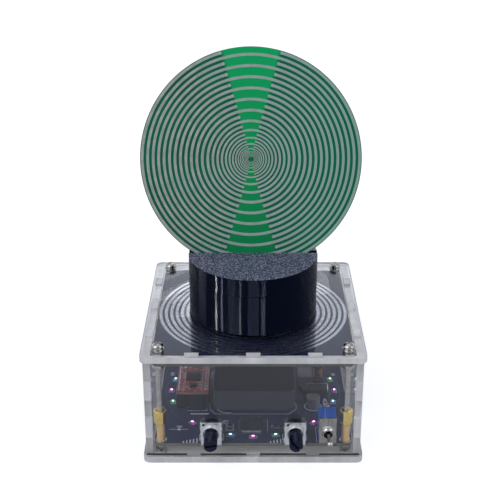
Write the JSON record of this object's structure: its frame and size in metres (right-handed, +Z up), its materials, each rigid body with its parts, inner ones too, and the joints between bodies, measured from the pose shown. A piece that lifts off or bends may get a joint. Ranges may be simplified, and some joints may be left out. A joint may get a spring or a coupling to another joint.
{
  "type": "electromagnetic resonance oscillator",
  "caption": "Clear box of tabbed sheet holding a circuit board and a flat coil, with a dark round stand on its lid that carries a leaning green ring antenna; two turning controls and a toggle.",
  "frame": {"origin": "middle of the underside of the base plate", "axes": "+X to the right, +Y to the back, +Z up; the controls are on the -Y side"},
  "size_m": [0.1, 0.1091, 0.1698],
  "materials": {
    "clear_sheet": "clear polished acrylic sheet with laser-cut edges",
    "navy_board": "dark blue solder mask, satin gloss",
    "tinned_track": "tinned copper, slightly matt",
    "screw_steel": "nickel-plated steel",
    "post_brass": "plain turned brass",
    "dark_print": "printed plastic, glossy sides and a frosted top",
    "disc_green": "green solder mask on fibreglass",
    "black_plastic": "moulded black plastic",
    "plated_steel": "bright plated steel",
    "switch_blue": "moulded blue plastic",
    "module_red": "red solder mask",
    "potting_grey": "dark grey potting in a plastic shell",
    "capacitor_sleeve": "dark shrink sleeve",
    "ferrite": "dark sintered ferrite",
    "copper_wire": "enamelled copper wire",
    "lamp_pink": "small surface lamp, pink light",
    "lamp_cyan": "small surface lamp, pale blue light",
    "lamp_green": "small surface lamp, green light",
    "ceramic_tan": "ceramic chip part",
    "lead_red": "insulated wire"
  },
  "bodies": {
    "case": {"base_plate": "clear_sheet", "top_plate": "clear_sheet", "front_wall": "clear_sheet", "rear_wall": "clear_sheet", "left_wall": "clear_sheet", "right_wall": "clear_sheet", "main_board": "navy_board", "coil_board": "navy_board", "coil_track": "tinned_track", "base_screws": "post_brass", "board_spacers": "screw_steel", "post_sleeves": "post_brass", "hex_couplers": "post_brass", "top_screws": "screw_steel", "spring_washers": "screw_steel", "flat_washers": "screw_steel", "coil_spacers": "screw_steel", "coil_nuts": "screw_steel", "stand_drum": "dark_print", "stand_jaws": "dark_print", "frequency_pot_body": "black_plastic", "frequency_pot_plate": "plated_steel", "amplitude_pot_body": "black_plastic", "amplitude_pot_plate": "plated_steel", "switch_body": "switch_blue", "switch_plate": "plated_steel", "switch_bushing": "plated_steel", "switch_terminals": "plated_steel", "module_board": "module_red", "module_chip": "black_plastic", "module_sockets": "black_plastic", "module_pins": "plated_steel", "power_module": "potting_grey", "capacitors": "capacitor_sleeve", "relay": "potting_grey", "choke_core": "ferrite", "choke_winding": "copper_wire", "driver_chip": "black_plastic", "driver_leads": "plated_steel", "leds_pink": "lamp_pink", "leds_cyan": "lamp_cyan", "leds_green": "lamp_green", "resistors": "black_plastic", "ceramic_capacitors": "ceramic_tan", "power_jack": "black_plastic", "jack_pin": "plated_steel", "coil_leads": "lead_red"},
    "frequency_knob": {"frequency_shaft": "black_plastic"},
    "amplitude_knob": {"amplitude_shaft": "black_plastic"},
    "toggle": {"switch_lever": "plated_steel"},
    "antenna": {"antenna_disc": "disc_green", "front_rings": "tinned_track", "rear_rings": "tinned_track"}
  },
  "joints": [
    {"name": "frequency_turn", "type": "hinge", "parent": "case", "child": "frequency_knob", "pos_m": [-0.01865, -0.05, 0.0138], "axis": [0, -1, 0], "range_deg": [-150, 150]},
    {"name": "amplitude_turn", "type": "hinge", "parent": "case", "child": "amplitude_knob", "pos_m": [0.01865, -0.05, 0.0138], "axis": [0, -1, 0], "range_deg": [-150, 150]},
    {"name": "switch_toggle", "type": "hinge", "parent": "case", "child": "toggle", "pos_m": [0.033, -0.0463, 0.01455], "axis": [1, 0, 0], "range_deg": [0, 20]},
    {"name": "antenna_lift", "type": "slide", "parent": "case", "child": "antenna", "axis": [0, 0.2588, 0.9659], "range_m": [0, 0.012]}
  ]
}
